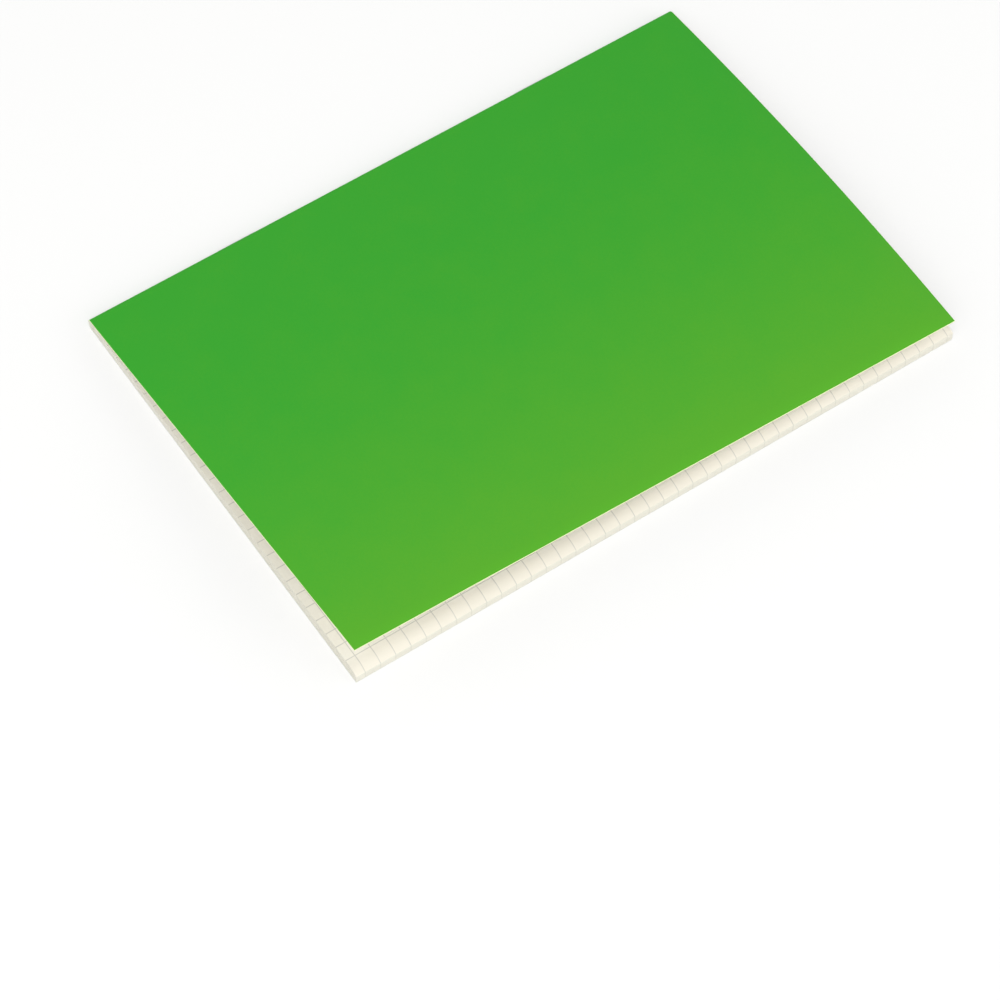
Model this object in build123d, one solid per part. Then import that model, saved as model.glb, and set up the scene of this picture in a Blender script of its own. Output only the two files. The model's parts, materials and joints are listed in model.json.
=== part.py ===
from build123d import *

import math
import os

# A stapled exercise book, closed and lying on its back cover.
# +X runs from the spine to the fore-edge, +Y from the foot to the head, +Z up through the pages.
# The origin is the middle of the footprint, on the surface that the book lies on.

# Trimmed page, from the fold at the middle of the book to the fore-edge, and from foot to head.
page_width = 139.0
page_height = 205.0

# Gathering of folded sheets, one inside the next.
sheet_count = 16
paper_thickness = 0.08
paper_air = 0.005

# Card cover, wrapped once round the gathering.
cover_thickness = 0.25
cover_air = 0.03

# The front cover springs open: its rise at the fore-edge and the bow of its card, at foot and head.
rise_foot = 13.0
rise_head = 5.6
bow_foot = 0.2
bow_head = 3.0

# Narrow strip of the front cover beside the spine, and the crease where the rest of the cover bends.
strip_width = 3.0
crease_gap = 0.15
crease_radius = 0.35

# Staples of flat wire: crown outside the spine, legs through the folds, ends clinched in the middle fold.
wire_width = 0.45
wire_thickness = 0.35
wire_clearance = 0.03
wire_bend_radius = 0.35
crown_length = 12.5
clinch_length = 4.8
staple_spacing = 104.0

# The flat leaves begin clear of the turning staple, and a hair's breadth from the bend that they belong to.
gutter_clearance = 0.05
seam_gap = 0.01

# Distances from the hinge line, which is the line inside the middle fold where the clinched ends lie.
paper_pitch = paper_thickness + paper_air
core_radius = math.hypot(wire_width, wire_thickness) / 2 + wire_clearance
cover_radius = core_radius + sheet_count * paper_pitch + cover_air
spine_radius = cover_radius + cover_thickness
crown_reach = spine_radius + wire_clearance + wire_thickness / 2

# The hinge line itself, placed so that the origin falls in the middle of the footprint.
hinge_x = (crown_reach + wire_thickness / 2 - page_width) / 2
hinge_z = spine_radius

# The front leaves lean down by the height of the staple wire, so the middle pages meet at the fore-edge.
front_lean = math.degrees(math.asin((2 * core_radius - paper_air) / page_width))

fold_tab = core_radius + gutter_clearance
leaf_start = fold_tab + seam_gap
leaf_width = page_width - leaf_start
strip_end = leaf_start + strip_width
staple_places = (-staple_spacing / 2, staple_spacing / 2)


def sheet_radius(number):
    """Distance from the hinge line to the inside of a sheet; sheet 1 is the outermost."""
    return core_radius + (sheet_count - number) * paper_pitch


def flat_panel(radius, thickness):
    """A flat sheet from the bend to the fore-edge, above the hinge line, drawn about that line."""
    corner = (Align.MIN, Align.CENTER, Align.MIN)
    return Pos(leaf_start, 0, radius) * Box(leaf_width, page_height, thickness, align=corner)


def front_leaf(number):
    leaning = Pos(hinge_x, 0, hinge_z) * Rot(0, front_lean, 0)
    return leaning * flat_panel(sheet_radius(number), paper_thickness)


def back_leaf(number):
    radius = -sheet_radius(number) - paper_thickness
    return Pos(hinge_x, 0, hinge_z) * flat_panel(radius, paper_thickness)


def back_cover():
    return Pos(hinge_x, 0, hinge_z) * flat_panel(-spine_radius, cover_thickness)


def tongue(radius):
    """Half disc on the spine side of the hinge line, with a straight tab towards the leaves."""
    half_disc = Circle(radius) & Rectangle(radius, 2 * radius, align=(Align.MAX, Align.CENTER))
    tab = Rectangle(fold_tab, 2 * radius, align=(Align.MIN, Align.CENTER))
    return half_disc + tab


def staple_holes():
    """Slits along X for both legs of both staples, from the hinge line out through the spine."""
    inward = (Align.MAX, Align.CENTER, Align.CENTER)
    across = wire_thickness + 2 * wire_clearance
    tall = wire_width + 2 * wire_clearance
    slit = Box(crown_reach, across, tall, align=inward)
    legs = [y + side * crown_length / 2 for y in staple_places for side in (-1, 1)]
    return [Pos(hinge_x, y, hinge_z) * slit for y in legs]


def bend(radius, thickness):
    """A folded sheet's bend round the hinge line, pierced by the staples."""
    across = Plane(origin=(hinge_x, 0, hinge_z), x_dir=(1, 0, 0), z_dir=(0, -1, 0))
    section = across * (tongue(radius + thickness) - tongue(radius))
    return extrude(section, amount=page_height / 2, both=True) - staple_holes()


def cover_section(y, rise, bow):
    """Section across the sprung front cover: an even card along a shallow arc."""
    start = Vector(hinge_x + leaf_start, y, hinge_z + cover_radius)
    end = Vector(hinge_x + math.sqrt(page_width**2 - rise**2), y, hinge_z + cover_radius + rise)
    middle = (start + end) / 2 + Vector(0, 0, bow)
    card = Vector(0, 0, cover_thickness)
    under = ThreePointArc(start, middle, end)
    over = ThreePointArc(start + card, middle + card, end + card)
    return make_face([under, Line(end, end + card), over, Line(start, start + card)])


def sprung_cover():
    """The front cover from its bend to its fore-edge, flat at the foot and bowed at the head."""
    foot = cover_section(-page_height / 2, rise_foot, bow_foot)
    head = cover_section(page_height / 2, rise_head, bow_head)
    return loft([foot, head], ruled=True)


def cover_side(start_x, end_x):
    """The sprung front cover between two distances from the hinge line."""
    height = 2 * (rise_foot + rise_head + bow_head + bow_foot)
    corner = (Align.MIN, Align.CENTER, Align.CENTER)
    window = Box(end_x - start_x, 2 * page_height, height, align=corner)
    return sprung_cover() & (Pos(hinge_x + start_x, 0, hinge_z + cover_radius) * window)


def staple(y):
    """One flat wire, bent at four corners, in the plane of the hinge line."""
    crown_x = hinge_x - crown_reach
    half_crown = crown_length / 2
    tail = half_crown - clinch_length
    corners = [
        (hinge_x, y - tail, hinge_z),
        (hinge_x, y - half_crown, hinge_z),
        (crown_x, y - half_crown, hinge_z),
        (crown_x, y + half_crown, hinge_z),
        (hinge_x, y + half_crown, hinge_z),
        (hinge_x, y + tail, hinge_z),
    ]
    path = FilletPolyline(*corners, radius=wire_bend_radius)
    wire = Plane(origin=path @ 0, x_dir=(0, 0, 1), z_dir=path % 0) * Rectangle(wire_width, wire_thickness)
    return sweep(wire, path=path)


def exercise_book():
    """Every piece of the book, by name."""
    nodes = {
        "front_cover": cover_side(strip_end + crease_gap, page_width),
        "cover_hinge_strip": cover_side(leaf_start, strip_end),
        "cover_spine": bend(cover_radius, cover_thickness),
        "back_cover": back_cover(),
        "staples": Compound([solid for y in staple_places for solid in staple(y).solids()]),
    }
    for number in range(1, sheet_count + 1):
        name = f"sheet_{number:02d}"
        nodes[f"{name}_front_leaf"] = front_leaf(number)
        nodes[f"{name}_fold"] = bend(sheet_radius(number), paper_thickness)
        nodes[f"{name}_back_leaf"] = back_leaf(number)
    return nodes


book = exercise_book()
os.makedirs("parts", exist_ok=True)
for node, shape in book.items():
    export_step(shape, f"parts/{node}.step")

# The two lines that the book turns about, along Y: inside the middle fold, and outside the crease.
crease_x = hinge_x + strip_end + crease_gap / 2
crease_z = book["cover_hinge_strip"].bounding_box().max.Z + crease_radius
print(f"hinge line: x {hinge_x:.4f}, z {hinge_z:.4f}")
print(f"crease line: x {crease_x:.4f}, z {crease_z:.4f}")
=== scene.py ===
import json
import math
import random

import bmesh
import bpy
from mathutils import Matrix, Vector


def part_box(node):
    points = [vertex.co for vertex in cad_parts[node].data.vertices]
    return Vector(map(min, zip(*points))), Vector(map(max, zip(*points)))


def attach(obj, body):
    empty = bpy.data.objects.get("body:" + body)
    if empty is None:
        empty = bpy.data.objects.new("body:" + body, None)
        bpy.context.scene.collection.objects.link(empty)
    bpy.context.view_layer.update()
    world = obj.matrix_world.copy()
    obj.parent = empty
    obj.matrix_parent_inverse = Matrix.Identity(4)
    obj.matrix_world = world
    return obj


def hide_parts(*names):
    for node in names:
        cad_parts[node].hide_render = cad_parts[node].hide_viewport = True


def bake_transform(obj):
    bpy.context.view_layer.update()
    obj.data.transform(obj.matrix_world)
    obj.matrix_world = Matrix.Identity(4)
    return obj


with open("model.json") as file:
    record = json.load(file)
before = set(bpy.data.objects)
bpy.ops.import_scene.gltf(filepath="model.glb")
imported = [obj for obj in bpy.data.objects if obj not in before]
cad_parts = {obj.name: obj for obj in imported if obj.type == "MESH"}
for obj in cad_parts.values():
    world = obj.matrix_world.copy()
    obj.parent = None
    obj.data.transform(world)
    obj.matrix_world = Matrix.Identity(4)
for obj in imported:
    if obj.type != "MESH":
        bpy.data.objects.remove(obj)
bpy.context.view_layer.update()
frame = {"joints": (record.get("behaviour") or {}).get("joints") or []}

# Squared writing paper: sixteen sheets, printed, folded once and nested in one gathering.
# Uncoated cream-white paper with fine grey 5 mm squares on both sides, trimmed flush after it was stapled.
# Each sheet is a front leaf, a back leaf and the fold between them, where the staples hold it.
mm = 0.001
sheet_count = 16
joint_places = {joint["name"]: Vector(joint["pos_m"]) for joint in frame["joints"]}
hinge = joint_places["opening"]
leaf_low, leaf_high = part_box("sheet_01_back_leaf")
paper_thickness = leaf_high.z - leaf_low.z
page_width = leaf_high.x - hinge.x
leaf_start = leaf_low.x - hinge.x
half_height = leaf_high.y
along_x, along_y = Vector((1, 0, 0)), Vector((0, 1, 0))

# Air keeps the pages apart in the middle of the leaf, a little more or less of it in long, low waves.
# The shares are of the swell, and each reach is the distance in which a wave turns by one radian.
swell = 1.5 * mm
swell_from, swell_to = 12 * mm, 105 * mm
long_wave_share, long_wave_reach = 0.08, 23 * mm
slant_wave_share, slant_reach_out, slant_reach_along = 0.05, 31 * mm, 17 * mm

# The trimming knife has rolled the pages down at the fore-edge, tighter at the foot than at the head,
# and has left no two of them quite the same width.
rolled_width = 4.5 * mm
roll_power = 2.5
loose_at_head = 0.25
trim_play = 0.04 * mm

# The squares run on from page to page of a spread. The fold misses their middle line by the drift,
# and a margin is left beside the fore-edge of each right-hand page. Past the last line the count of squares
# is held at part of a square, where no line shows.
square = 5 * mm
line_width = 0.28 * mm
line_softness = 0.6
fold_drift = 1.3 * mm
foot_margin = 3 * mm
squares_out, squares_up = 27, 40
held_past_last = 0.45

# Painted shade: the fore-edge of every page is painted a little darker, which evens out the light that its
# rolled edge catches. A flat sheet is wider than its page by its share of the fold, so the painted shade
# runs on past the page's own width.
painted_shade_from, painted_shade_to = page_width - 3.5 * mm, page_width + 1.5 * mm

# Single fibres are far too fine to show. They are drawn coarser, as tufts of this size, over wider clouds.
fibre_size = 0.9 * mm
cloud_size = 14 * mm
paper_tooth = 0.02 * mm

# The front half comes down off the staple wire within the gutter and lies on the back half.
# The ends of the folds are drawn in by a hair, so that they stay behind the ends of the leaves
# when the book is laid open.
gutter_width = 9 * mm
drawn_in = 0.12 * mm


def linear(code):
    """An sRGB hex colour as linear red, green, blue and alpha."""
    channels = [int(code[k:k + 2], 16) / 255 for k in (1, 3, 5)]
    return [c / 12.92 if c <= 0.04045 else ((c + 0.055) / 1.055) ** 2.4 for c in channels] + [1]


def add_node(tree, kind, inputs, **settings):
    """A node with its settings; each input is a value, or the socket that it is linked from."""
    node = tree.nodes.new(kind)
    for name, value in settings.items():
        setattr(node, name, value)
    for key, value in inputs.items():
        if isinstance(value, bpy.types.NodeSocket):
            tree.links.new(value, node.inputs[key])
        else:
            node.inputs[key].default_value = value
    return node


def new_finish(name):
    """An empty material and its node tree."""
    finish = bpy.data.materials.new(name)
    finish.use_nodes = True
    finish.node_tree.nodes.clear()
    return finish, finish.node_tree


def paper_finish(name, ink_colour, dark_tone, light_tone, painted_shade_colour):
    """Uncoated paper: matt, with a soft fibrous mottle, and thin printed lines that break up a little."""
    finish, tree = new_finish(name)
    spot = add_node(tree, "ShaderNodeUVMap", {}, uv_map="blank").outputs["UV"]
    place = add_node(tree, "ShaderNodeSeparateXYZ", {"Vector": spot})

    # Places are counted in squares from the first line, so the nearest line is at most half a square off.
    half_line = line_width / square / 2
    half_square = 0.5
    rules = []
    for axis, first_line, last_line in (("X", fold_drift, squares_out),
                                        ("Y", foot_margin - half_height, squares_up)):
        from_first = add_node(tree, "ShaderNodeMath", {0: place.outputs[axis], 1: first_line},
                              operation="SUBTRACT")
        counted = add_node(tree, "ShaderNodeMath", {0: from_first.outputs[0], 1: square},
                           operation="DIVIDE")
        printed = add_node(tree, "ShaderNodeMath", {0: counted.outputs[0], 1: last_line + held_past_last},
                           operation="MINIMUM")
        off_line = add_node(tree, "ShaderNodeMath", {0: printed.outputs[0], 1: half_square},
                            operation="PINGPONG")
        rule = add_node(tree, "ShaderNodeMapRange", {
            "Value": off_line.outputs[0], "From Min": (1 - line_softness) * half_line,
            "From Max": (1 + line_softness) * half_line, "To Min": 1.0, "To Max": 0.0},
            interpolation_type="SMOOTHSTEP")
        rules.append(rule.outputs[0])
    grid = add_node(tree, "ShaderNodeMath", {0: rules[0], 1: rules[1]}, operation="MAXIMUM")

    fibres = add_node(tree, "ShaderNodeTexNoise", {"Vector": spot, "Scale": 1 / fibre_size, "Detail": 4.0})
    clouds = add_node(tree, "ShaderNodeTexNoise", {"Vector": spot, "Scale": 1 / cloud_size, "Detail": 2.0})
    hold = add_node(tree, "ShaderNodeMapRange", {
        "Value": fibres.outputs[0], "From Min": 0.3, "From Max": 0.7, "To Min": 0.7, "To Max": 1.0})
    ink = add_node(tree, "ShaderNodeMath", {0: grid.outputs[0], 1: hold.outputs[0]}, operation="MULTIPLY")

    mottle = add_node(tree, "ShaderNodeMath", {0: fibres.outputs[0], 1: clouds.outputs[0]}, operation="ADD")
    evened = add_node(tree, "ShaderNodeMapRange", {
        "Value": mottle.outputs[0], "From Min": 0.6, "From Max": 1.4})
    tone = add_node(tree, "ShaderNodeMix", {
        "Factor": evened.outputs[0], "A": linear(dark_tone), "B": linear(light_tone)}, data_type="RGBA")
    # Painted shade: darker towards the fore-edge, against the light that the rolled pages catch.
    outwards = add_node(tree, "ShaderNodeMath", {0: place.outputs["X"]}, operation="ABSOLUTE")
    painted_shade_share = add_node(tree, "ShaderNodeMapRange", {
        "Value": outwards.outputs[0], "From Min": painted_shade_from, "From Max": painted_shade_to},
        interpolation_type="SMOOTHSTEP")
    tone_with_painted_shade = add_node(tree, "ShaderNodeMix", {
        "Factor": painted_shade_share.outputs[0], "A": tone.outputs["Result"], "B": linear(painted_shade_colour)},
        data_type="RGBA")
    inked = add_node(tree, "ShaderNodeMix", {
        "Factor": ink.outputs[0], "A": tone_with_painted_shade.outputs["Result"], "B": linear(ink_colour)},
        data_type="RGBA")

    tooth = add_node(tree, "ShaderNodeBump", {
        "Height": fibres.outputs[0], "Strength": 0.25, "Distance": paper_tooth})
    dryness = add_node(tree, "ShaderNodeMapRange", {
        "Value": fibres.outputs[0], "To Min": 0.78, "To Max": 0.92})
    surface = add_node(tree, "ShaderNodeBsdfPrincipled", {
        "Base Color": inked.outputs["Result"], "Roughness": dryness.outputs[0], "Normal": tooth.outputs[0],
        "IOR": 1.45, "Specular IOR Level": 0.3})
    add_node(tree, "ShaderNodeOutputMaterial", {"Surface": surface.outputs[0]})
    return finish


# Uncoated paper gives the eye a cream white without gloss. The edges of the stack are painted a little
# darker than the page, as painted shade of the gaps between the leaves and of edge faces turned from the
# lamps, with faint ticks where the lines run off.
squared_paper = paper_finish("uncoated_squared_paper", "#C8C6BC", "#EDE9DA", "#F3F0E4", "#E6E1D3")
cut_paper = paper_finish("guillotined_paper_edge", "#D1CFC3", "#D5D3C7", "#DDDBD1", "#D9D7CC")


def flat_blank(start, end, thickness):
    """A flat rectangle of paper or card: X runs along it from the middle of its fold, and Z through it."""
    bm = bmesh.new()
    bmesh.ops.create_cube(bm, size=1)
    bmesh.ops.scale(bm, vec=(end - start, 2 * half_height, thickness), verts=bm.verts)
    bmesh.ops.translate(bm, vec=((start + end) / 2, 0, thickness / 2), verts=bm.verts)
    return bm


def score(bm, direction, places):
    """Cuts the faces of a blank along straight lines, so that it can bend there."""
    for place in places:
        whole = bm.verts[:] + bm.edges[:] + bm.faces[:]
        bmesh.ops.bisect_plane(bm, geom=whole, plane_co=direction * place, plane_no=direction)


# A face of a flat blank belongs to one of its two sides where its normal has more of Z than this.
side_facing = 0.5


def lay_map(bm):
    """Keeps each corner's place on the flat blank as its map, in metres, turned round underneath."""
    layer = bm.loops.layers.uv.new("blank")
    bm.normal_update()
    for face in bm.faces:
        facing = -1 if face.normal.z < -side_facing else 1
        for loop in face.loops:
            loop[layer].uv = (facing * loop.vert.co.x, loop.vert.co.y)


def between(start, end, steps):
    """Evenly spaced places strictly between two ends."""
    return [start + (end - start) * k / steps for k in range(1, steps)]


def folded(point, radius):
    """Where a point of a flat blank goes when it is folded round the hinge line, on that radius."""
    quarter = math.pi / 2 * radius
    reach = radius + point.z
    if abs(point.x) < quarter:
        angle = point.x / radius
        shorter = 1 - math.cos(angle) * drawn_in / half_height
        return Vector((-reach * math.cos(angle), point.y * shorter, reach * math.sin(angle)))
    side = math.copysign(1, point.x)
    return Vector((abs(point.x) - quarter, point.y, side * reach))


# Edges that turn by more than this are real ones, and the rest are steps of a bend.
sharp_angle = math.radians(35)


def make_piece(bm, name, *finishes):
    """A mesh object from a finished bmesh, with its real edges kept sharp."""
    mesh = bpy.data.meshes.new(name)
    bm.to_mesh(mesh)
    bm.free()
    for finish in finishes:
        mesh.materials.append(finish)
    mesh.set_sharp_from_angle(angle=sharp_angle)
    piece = bpy.data.objects.new(name, mesh)
    bpy.context.scene.collection.objects.link(piece)
    return piece


def paper_blank(start, end, cuts_out, cuts_up):
    """A flat stretch of one sheet, with its trimmed edges told from its pages, scored and mapped."""
    bm = flat_blank(start, end, paper_thickness)
    bm.normal_update()
    for face in bm.faces:
        face.smooth = abs(face.normal.z) > side_facing
        face.material_index = 0 if face.smooth else 1
    score(bm, along_x, cuts_out)
    score(bm, along_y, cuts_up)
    lay_map(bm)
    return bm


def smooth_step(value):
    """A share from 0 to 1 that starts and ends gently."""
    value = min(1, max(0, value))
    return value * value * (3 - 2 * value)


def lift(out, along):
    """How far the loose top page stands above a tight stack, so far from the hinge line and the middle."""
    air = swell * smooth_step((out - swell_from) / (swell_to - swell_from))
    long_wave = long_wave_share * math.sin(along / long_wave_reach)
    slant_wave = slant_wave_share * math.sin(out / slant_reach_out + along / slant_reach_along)
    rolled = max(0, (out - page_width + rolled_width) / rolled_width) ** roll_power
    loose = loose_at_head * (along + half_height) / (2 * half_height)
    return air * (1 + long_wave + slant_wave) * (1 - rolled * (1 - loose))


# The air lies unevenly between the leaves, which stick together in small clumps.
clump_seed = 16
least_space = 0.25
draw = random.Random(clump_seed)
spaces = [least_space + draw.random() ** 2 for _ in range(2 * sheet_count)]
share_below = [sum(spaces[:k + 1]) / sum(spaces) for k in range(2 * sheet_count)]

middle_radius = hinge.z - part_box(f"sheet_{sheet_count:02d}_back_leaf")[1].z
page_gap = 0.005 * mm
staple_space = 2 * middle_radius - page_gap

# A leaf bends most in the gutter and at its rolled edge, so it is scored more closely there.
gutter_steps, page_steps, roll_steps, fold_steps, height_steps = 9, 16, 9, 20, 12
roll_start = page_width - rolled_width
leaf_cuts = between(leaf_start, gutter_width, gutter_steps)
leaf_cuts += between(gutter_width, roll_start, page_steps)
leaf_cuts += between(roll_start, page_width, roll_steps)
height_cuts = between(-half_height, half_height, height_steps)

for number in range(1, sheet_count + 1):
    sheet = f"sheet_{number:02d}"
    front_body = f"front_leaf_{number:02d}"
    radius = hinge.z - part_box(f"{sheet}_back_leaf")[1].z
    quarter = math.pi / 2 * radius
    leaves = (("front", 1, front_body, 2 * sheet_count - number),
              ("back", -1, "back_half", number - 1))
    for side, way, body, level in leaves:
        trimmed_width = page_width - trim_play * draw.random()
        ends = sorted((way * (quarter + leaf_start), way * (quarter + trimmed_width)))
        bm = paper_blank(*ends, [way * (quarter + cut) for cut in leaf_cuts], height_cuts)
        for vert in bm.verts:
            spot = folded(vert.co, radius)
            if side == "front":
                spot.z -= staple_space * smooth_step((spot.x - leaf_start) / gutter_width)
            spot.z += share_below[level] * lift(spot.x, spot.y)
            vert.co = hinge + spot
        page = make_piece(bm, f"{sheet}_{side}_page", squared_paper, cut_paper)
        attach(page, body)
        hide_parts(f"{sheet}_{side}_leaf")

    fold_cuts = [-quarter, quarter] + between(-quarter, quarter, fold_steps)
    bm = paper_blank(-quarter - leaf_start, quarter + leaf_start, fold_cuts, height_cuts)
    for vert in bm.verts:
        vert.co = hinge + folded(vert.co, radius)
    fold = make_piece(bm, f"{sheet}_bend", squared_paper, cut_paper)
    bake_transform(fold)
    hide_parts(f"{sheet}_fold")

# Cover: one card, printed green outside and left white inside, folded round the gathering and stapled.
# The front springs open, flat at the foot and bowed at the head, and bends at a crease beside the spine.
# The guillotine leaves square edges that show the white core of the card.
card_low, card_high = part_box("back_cover")
card_thickness = card_high.z - card_low.z
card_radius = hinge.z - card_high.z
card_quarter = math.pi / 2 * card_radius
rise_foot, rise_head = 13 * mm, 5.6 * mm
bow_foot, bow_head = 0.2 * mm, 3 * mm
crease = joint_places["cover_turn"]
crease_reach = 0.6 * mm
burr = 0.07 * mm

# Offset-printed card: an even satin green with a faint mottle, and painted light that makes it lighter and
# yellower towards the fore-edge.
# The grain of ink and card is too fine to show, and is drawn coarser.
painted_light_from, painted_light_power = 5 * mm, 2.2
ink_cloud_size = 16 * mm
ink_grain_size = 0.8 * mm
card_tooth = 0.02 * mm
green_card, tree = new_finish("satin_printed_green_card")
flat_place = add_node(tree, "ShaderNodeUVMap", {}, uv_map="blank").outputs["UV"]
across = add_node(tree, "ShaderNodeSeparateXYZ", {"Vector": flat_place})
# Painted light: the green turns lighter and yellower from the spine towards the fore-edge.
way_across = add_node(tree, "ShaderNodeMapRange", {
    "Value": across.outputs["X"], "From Min": painted_light_from, "From Max": page_width,
    "To Min": 0.0, "To Max": 1.0})
fore_edge_painted_light = add_node(tree, "ShaderNodeMath", {0: way_across.outputs[0], 1: painted_light_power}, operation="POWER")
ink_clouds = add_node(tree, "ShaderNodeTexNoise", {
    "Vector": flat_place, "Scale": 1 / ink_cloud_size, "Detail": 5.0, "Roughness": 0.65})
ink_grain = add_node(tree, "ShaderNodeTexNoise", {
    "Vector": flat_place, "Scale": 1 / ink_grain_size, "Detail": 4.0})
mottle = add_node(tree, "ShaderNodeMath", {0: ink_clouds.outputs[0], 1: ink_grain.outputs[0]},
                  operation="ADD")
cloud_shift = add_node(tree, "ShaderNodeMapRange", {
    "Value": mottle.outputs[0], "From Min": 0.6, "From Max": 1.4, "To Min": -0.16, "To Max": 0.2})
tint = add_node(tree, "ShaderNodeMath", {0: fore_edge_painted_light.outputs[0], 1: cloud_shift.outputs[0]},
                operation="ADD", use_clamp=True)
green = add_node(tree, "ShaderNodeMix", {
    "Factor": tint.outputs[0], "A": linear("#39A82E"), "B": linear("#58AE2B")}, data_type="RGBA")
varnish = add_node(tree, "ShaderNodeMapRange", {
    "Value": ink_grain.outputs[0], "To Min": 0.58, "To Max": 0.74})
grain_height = add_node(tree, "ShaderNodeBump", {
    "Height": ink_grain.outputs[0], "Strength": 0.12, "Distance": card_tooth})
card = add_node(tree, "ShaderNodeBsdfPrincipled", {
    "Base Color": green.outputs["Result"], "Roughness": varnish.outputs[0],
    "Normal": grain_height.outputs[0], "IOR": 1.5, "Specular IOR Level": 0.12})
add_node(tree, "ShaderNodeOutputMaterial", {"Surface": card.outputs[0]})

# Unprinted side of the same card: plain white pulp, matt, with a soft fibre.
# The fibre is too fine to show, and is drawn coarser.
pulp_size = 1.2 * mm
white_card, tree = new_finish("unprinted_white_card")
flat_place = add_node(tree, "ShaderNodeUVMap", {}, uv_map="blank").outputs["UV"]
pulp = add_node(tree, "ShaderNodeTexNoise", {"Vector": flat_place, "Scale": 1 / pulp_size, "Detail": 4.0})
pulp_tone = add_node(tree, "ShaderNodeMix", {
    "Factor": pulp.outputs[0], "A": linear("#EAE9E3"), "B": linear("#F2F1ED")}, data_type="RGBA")
pulp_height = add_node(tree, "ShaderNodeBump", {
    "Height": pulp.outputs[0], "Strength": 0.2, "Distance": card_tooth})
pulp_matt = add_node(tree, "ShaderNodeMapRange", {"Value": pulp.outputs[0], "To Min": 0.7, "To Max": 0.85})
inside = add_node(tree, "ShaderNodeBsdfPrincipled", {
    "Base Color": pulp_tone.outputs["Result"], "Roughness": pulp_matt.outputs[0],
    "Normal": pulp_height.outputs[0], "IOR": 1.45, "Specular IOR Level": 0.3})
add_node(tree, "ShaderNodeOutputMaterial", {"Surface": inside.outputs[0]})

# Cut edge of the card: bare core, a warmer white that takes a little green from the ink dragged over it.
# The edges of the back are painted greyer than those of the front, as painted shade where the book lies on
# the desk.
drag_size = 1.5 * mm
card_core, tree = new_finish("cut_card_core")
flat_place = add_node(tree, "ShaderNodeUVMap", {}, uv_map="blank").outputs["UV"]
drag = add_node(tree, "ShaderNodeTexNoise", {"Vector": flat_place, "Scale": 1 / drag_size, "Detail": 3.0})
core_tone = add_node(tree, "ShaderNodeMix", {
    "Factor": drag.outputs[0], "A": linear("#EDF3C4"), "B": linear("#E2ECB1")}, data_type="RGBA")
across = add_node(tree, "ShaderNodeSeparateXYZ", {"Vector": flat_place})
# Painted shade: the core turns greyer towards the back cover, which lies on the desk.
back_painted_shade = add_node(tree, "ShaderNodeMapRange", {
    "Value": across.outputs["X"], "From Min": -card_quarter, "From Max": card_quarter,
    "To Min": 1.0, "To Max": 0.0})
core_tone_with_back_shade = add_node(tree, "ShaderNodeMix", {
    "Factor": back_painted_shade.outputs[0], "A": core_tone.outputs["Result"], "B": linear("#CDCEC4")},
    data_type="RGBA")
core_matt = add_node(tree, "ShaderNodeMapRange", {"Value": drag.outputs[0], "To Min": 0.75, "To Max": 0.9})
core = add_node(tree, "ShaderNodeBsdfPrincipled", {
    "Base Color": core_tone_with_back_shade.outputs["Result"], "Roughness": core_matt.outputs[0], "IOR": 1.45})
add_node(tree, "ShaderNodeOutputMaterial", {"Surface": core.outputs[0]})

# The eased edges of the card lean away from its two sides, and take the finish of the core.
eased_facing = 0.95
same_place = 0.0001 * mm


def card_blank(start, end, trimmed_x):
    """A flat cover blank: its trimmed edges eased on the printed side, and its faces given finishes."""
    bm = flat_blank(start, end, card_thickness)
    trimmed = []
    for edge in bm.edges:
        ends = [vert.co for vert in edge.verts]
        on_print = all(abs(co.z - card_thickness) < same_place for co in ends)
        at_fore = all(abs(co.x - trimmed_x) < same_place for co in ends)
        at_ends = ends[0].y * ends[1].y > 0
        if on_print and (at_fore or at_ends):
            trimmed.append(edge)
    bmesh.ops.bevel(bm, geom=trimmed, offset=burr, offset_type="OFFSET", segments=2, profile=0.5,
                    affect="EDGES", material=-1)
    bm.normal_update()
    for face in bm.faces:
        face.smooth = abs(face.normal.z) > eased_facing
        face.material_index = 2 if not face.smooth else 0 if face.normal.z > 0 else 1
    return bm


def sprung(point):
    """Where a point of the flat blank lies on the sprung front cover."""
    share = (point.x - card_quarter - leaf_start) / (page_width - leaf_start)
    up = (point.y + half_height) / (2 * half_height)
    reach_foot = math.sqrt(page_width**2 - rise_foot**2) - leaf_start
    reach_head = math.sqrt(page_width**2 - rise_head**2) - leaf_start
    reach = reach_foot + (reach_head - reach_foot) * up
    rise = rise_foot + (rise_head - rise_foot) * up
    bow = bow_foot + (bow_head - bow_foot) * up
    height = card_radius + rise * share + 4 * bow * share * (1 - share)
    return Vector((leaf_start + reach * share, point.y, height + point.z))


# The card is scored closely round the spine, at the crease and where the front is bowed and twisted.
back_steps, spine_steps, crease_steps, front_steps, twist_steps = 12, 28, 14, 34, 24
back_edge = -card_quarter - page_width
bm = card_blank(back_edge, card_quarter + leaf_start, back_edge)
score(bm, along_x, between(back_edge, -card_quarter, back_steps) + [-card_quarter, card_quarter])
score(bm, along_x, between(-card_quarter, card_quarter, spine_steps))
score(bm, along_y, height_cuts)
lay_map(bm)
for vert in bm.verts:
    vert.co = hinge + folded(vert.co, card_radius)
cover_back = make_piece(bm, "cover_back_and_spine", green_card, white_card, card_core)
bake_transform(cover_back)
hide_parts("back_cover", "cover_spine")

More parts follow.
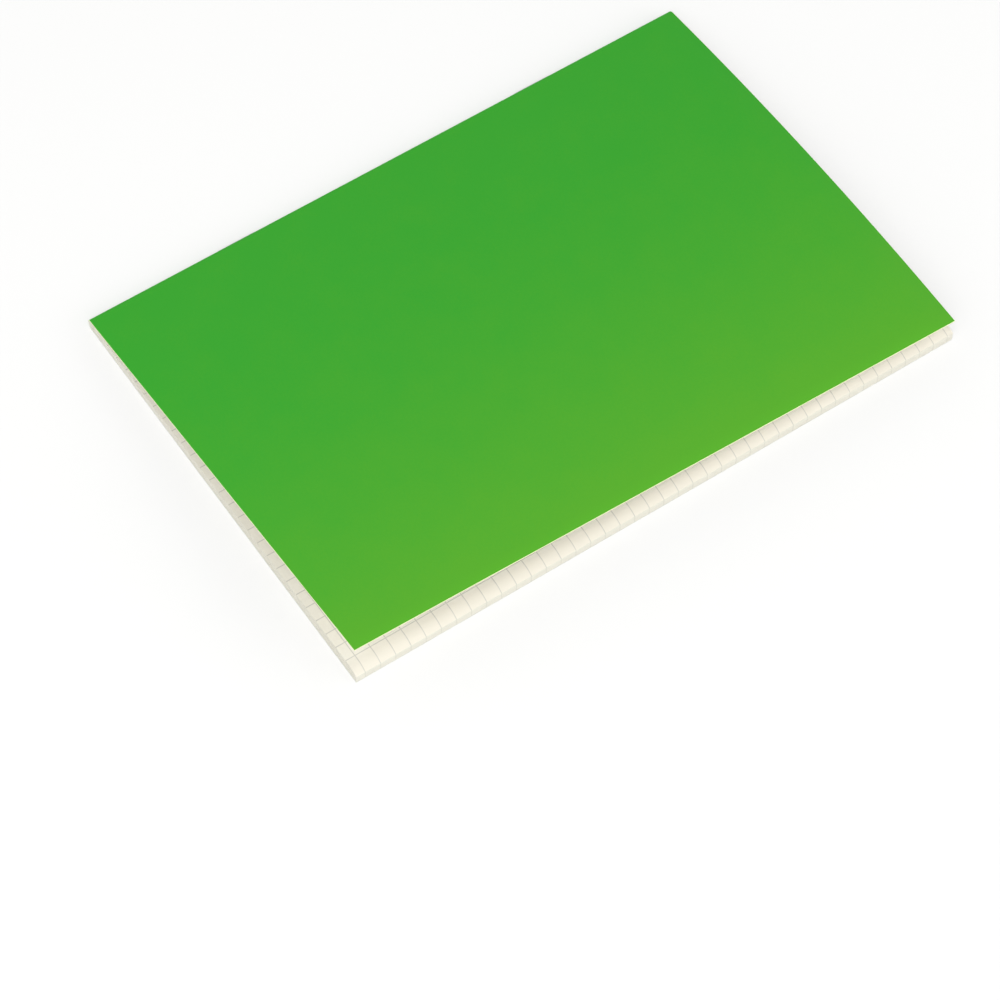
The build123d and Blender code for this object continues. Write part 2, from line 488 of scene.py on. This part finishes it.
front_edge = card_quarter + page_width
bm = card_blank(card_quarter + leaf_start, front_edge, front_edge)
crease_at = card_quarter + crease.x - hinge.x
score(bm, along_x, between(crease_at - crease_reach, crease_at + crease_reach, crease_steps))
score(bm, along_x, [crease_at - crease_reach, crease_at + crease_reach])
score(bm, along_x, between(crease_at + crease_reach, front_edge, front_steps))
score(bm, along_y, between(-half_height, half_height, twist_steps))
lay_map(bm)
for vert in bm.verts:
    vert.co = hinge + sprung(vert.co)
cover_front = make_piece(bm, "cover_front", green_card, white_card, card_core)
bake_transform(cover_front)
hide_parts("front_cover", "cover_hinge_strip")

# Staples: two lengths of flat galvanised steel wire, driven through the spine from outside.
# The crown lies along the spine, and the ends are clinched towards each other inside the middle fold.
staple_low, staple_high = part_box("staples")
wire_width = staple_high.z - staple_low.z
wire_thickness = 0.35 * mm
wire_rounding = 0.09 * mm
wire_bend = 0.35 * mm
bend_steps = 6
tip_rounding = 0.05 * mm
merge_distance = 0.001 * mm
crown_x = staple_low.x + wire_thickness / 2
half_crown = 6.25 * mm
clinch = 4.8 * mm
staple_places = {"foot": staple_low.y + half_crown + wire_thickness / 2,
                 "head": staple_high.y - half_crown - wire_thickness / 2}

# Galvanised wire: bright grey zinc, slightly dulled. Its spangle is too fine to show, and is drawn coarser.
spangle_size = 0.5 * mm
galvanised_wire, tree = new_finish("drawn_galvanised_steel_wire")
spot = add_node(tree, "ShaderNodeTexCoord", {}).outputs["Object"]
zinc = add_node(tree, "ShaderNodeTexNoise", {"Vector": spot, "Scale": 1 / spangle_size, "Detail": 4.0})
zinc_tone = add_node(tree, "ShaderNodeMix", {
    "Factor": zinc.outputs[0], "A": linear("#B4B6B8"), "B": linear("#D3D5D6")}, data_type="RGBA")
zinc_dull = add_node(tree, "ShaderNodeMapRange", {"Value": zinc.outputs[0], "To Min": 0.24, "To Max": 0.42})
wire_steel = add_node(tree, "ShaderNodeBsdfPrincipled", {
    "Base Color": zinc_tone.outputs["Result"], "Metallic": 1.0, "Roughness": zinc_dull.outputs[0]})
add_node(tree, "ShaderNodeOutputMaterial", {"Surface": wire_steel.outputs[0]})


def run_on(bm, end_face, way):
    """Draws the wire on in a straight line, and returns its new end."""
    grown = bmesh.ops.extrude_face_region(bm, geom=[end_face])["geom"]
    if end_face.is_valid:
        bmesh.ops.delete(bm, geom=[end_face], context="FACES_ONLY")
    bmesh.ops.translate(bm, vec=way, verts=[part for part in grown if isinstance(part, bmesh.types.BMVert)])
    return next(part for part in grown if isinstance(part, bmesh.types.BMFace))


def bend_on(bm, end_face, centre):
    """Bends the wire on through a right angle, clockwise from above, and returns its new end."""
    whole_end = [end_face, *end_face.edges, *end_face.verts]
    turned = bmesh.ops.spin(bm, geom=whole_end, cent=centre, axis=(0, 0, 1), angle=-math.pi / 2,
                            steps=bend_steps)["geom_last"]
    return next(part for part in turned if isinstance(part, bmesh.types.BMFace))


for place_name, middle in staple_places.items():
    bm = bmesh.new()
    bmesh.ops.create_grid(bm, x_segments=1, y_segments=1, size=0.5)
    bmesh.ops.scale(bm, vec=(wire_thickness, wire_width, 1), verts=bm.verts)
    bmesh.ops.bevel(bm, geom=bm.verts[:], offset=wire_rounding, offset_type="OFFSET", segments=3,
                    profile=0.5, affect="VERTICES", material=-1)
    bmesh.ops.rotate(bm, cent=(0, 0, 0), matrix=Matrix.Rotation(-math.pi / 2, 3, "X"), verts=bm.verts)
    bmesh.ops.translate(bm, vec=(crown_x, 0, hinge.z), verts=bm.verts)
    end = run_on(bm, bm.faces[:][0], (0, half_crown - wire_bend, 0))
    end = bend_on(bm, end, (crown_x + wire_bend, half_crown - wire_bend, hinge.z))
    end = run_on(bm, end, (hinge.x - crown_x - 2 * wire_bend, 0, 0))
    end = bend_on(bm, end, (hinge.x - wire_bend, half_crown - wire_bend, hinge.z))
    end = run_on(bm, end, (0, wire_bend - clinch, 0))
    bmesh.ops.bevel(bm, geom=end.edges[:], offset=tip_rounding, offset_type="OFFSET", segments=2,
                    profile=0.5, affect="EDGES", material=-1)
    whole = bm.verts[:] + bm.edges[:] + bm.faces[:]
    bmesh.ops.mirror(bm, geom=whole, axis="Y", merge_dist=merge_distance)
    bmesh.ops.remove_doubles(bm, verts=bm.verts, dist=merge_distance)
    bmesh.ops.recalc_face_normals(bm, faces=bm.faces)
    bmesh.ops.translate(bm, vec=(0, middle, 0), verts=bm.verts)
    for face in bm.faces:
        face.smooth = True
    staple = make_piece(bm, f"staple_{place_name}", galvanised_wire)
    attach(staple, "binding")
    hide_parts("staples")

# Table and room: a plain white desk top under soft, even studio light, which runs on into a white room.
# The top is part see-through to the camera, like frosted glass, so that a cover folded under the book
# still shows.
desk_drop = 0.1 * mm
desk_reach = 2000 * mm
desk_cover, desk_glow = 0.5, 0.2
white_desk, tree = new_finish("white_desk")
ray = add_node(tree, "ShaderNodeLightPath", {})
matt_white = add_node(tree, "ShaderNodeBsdfDiffuse", {"Color": linear("#E9E9E7")})
glow = add_node(tree, "ShaderNodeEmission", {"Color": linear("#FFFFFF"), "Strength": desk_glow})
lit_white = add_node(tree, "ShaderNodeAddShader", {0: matt_white.outputs[0], 1: glow.outputs[0]})
clear = add_node(tree, "ShaderNodeBsdfTransparent", {})
seen_white = add_node(tree, "ShaderNodeMixShader", {
    "Fac": desk_cover, 1: clear.outputs[0], 2: lit_white.outputs[0]})
top = add_node(tree, "ShaderNodeMixShader", {
    "Fac": ray.outputs["Is Camera Ray"], 1: matt_white.outputs[0], 2: seen_white.outputs[0]})
add_node(tree, "ShaderNodeOutputMaterial", {"Surface": top.outputs[0]})

bm = bmesh.new()
bmesh.ops.create_grid(bm, x_segments=1, y_segments=1, size=desk_reach)
bmesh.ops.translate(bm, vec=(0, 0, -desk_drop), verts=bm.verts)
make_piece(bm, "desk", white_desk)

# The room is plain white to the eye and in reflections. As a light it is a tent, whose walls are brighter
# than its ceiling, so that the pages under the cover are lit too.
wall_light, ceiling_light = 1.85, 0.1
room = bpy.data.worlds.new("white_room")
room.use_nodes = True
tree = room.node_tree
tree.nodes.clear()
ray = add_node(tree, "ShaderNodeLightPath", {})
mirrored = add_node(tree, "ShaderNodeMath", {
    0: ray.outputs["Is Camera Ray"], 1: ray.outputs["Is Glossy Ray"]}, operation="MAXIMUM")
shown = add_node(tree, "ShaderNodeMath", {
    0: mirrored.outputs[0], 1: ray.outputs["Is Transmission Ray"]}, operation="MAXIMUM")
outward = add_node(tree, "ShaderNodeTexCoord", {}).outputs["Object"]
way = add_node(tree, "ShaderNodeSeparateXYZ", {"Vector": outward})
tent = add_node(tree, "ShaderNodeMapRange", {
    "Value": way.outputs["Z"], "To Min": wall_light, "To Max": ceiling_light})
room_light = add_node(tree, "ShaderNodeBackground", {
    "Color": linear("#FFFFFF"), "Strength": tent.outputs[0]})
white_wall = add_node(tree, "ShaderNodeBackground", {"Color": linear("#FFFFFF"), "Strength": 1.0})
walls = add_node(tree, "ShaderNodeMixShader", {
    "Fac": shown.outputs[0], 1: room_light.outputs[0], 2: white_wall.outputs[0]})
add_node(tree, "ShaderNodeOutputWorld", {"Surface": walls.outputs[0]})
bpy.context.scene.world = room

# Two soft boxes: the main one over the fore-edge and foot, and a weaker, lower one towards the head,
# which reaches the pages under the sprung cover. Places and sizes are in metres, and power in watts.
for lamp_name, spot, size, power in (("main_softbox", (0.5, -0.55, 0.82), 0.7, 4.6),
                                     ("low_softbox", (0.8, 0.65, 0.33), 0.6, 2.4)):
    lamp = bpy.data.lights.new(lamp_name, "AREA")
    lamp.shape = "SQUARE"
    lamp.size = size
    lamp.energy = power
    lamp_object = bpy.data.objects.new(lamp_name, lamp)
    lamp_object.location = spot
    lamp_object.rotation_euler = Vector(spot).to_track_quat("Z", "Y").to_euler()
    bpy.context.scene.collection.objects.link(lamp_object)

# Camera: a long lens over the fore-edge and foot, tilted a little, with the book high in the frame.
# Its place was solved from the corners of the book, so the numbers are not round.
azimuth, elevation, tilt = math.radians(53.98), math.radians(58.32), math.radians(2.19)
distance, book_right, book_up = 1200.24 * mm, 5.84 * mm, 48.35 * mm
aim = Matrix.Rotation(azimuth, 3, "Z") @ Matrix.Rotation(math.pi / 2 - elevation, 3, "X")
aim = aim @ Matrix.Rotation(tilt, 3, "Z")
lens = bpy.data.cameras.new("camera")
lens.lens = 150
lens.sensor_width = 36
camera = bpy.data.objects.new("camera", lens)
camera.location = aim @ Vector((-book_right, -book_up, distance))
camera.rotation_euler = aim.to_euler()
bpy.context.scene.collection.objects.link(camera)
bpy.context.scene.camera = camera
bpy.context.scene.view_settings.view_transform = "Standard"
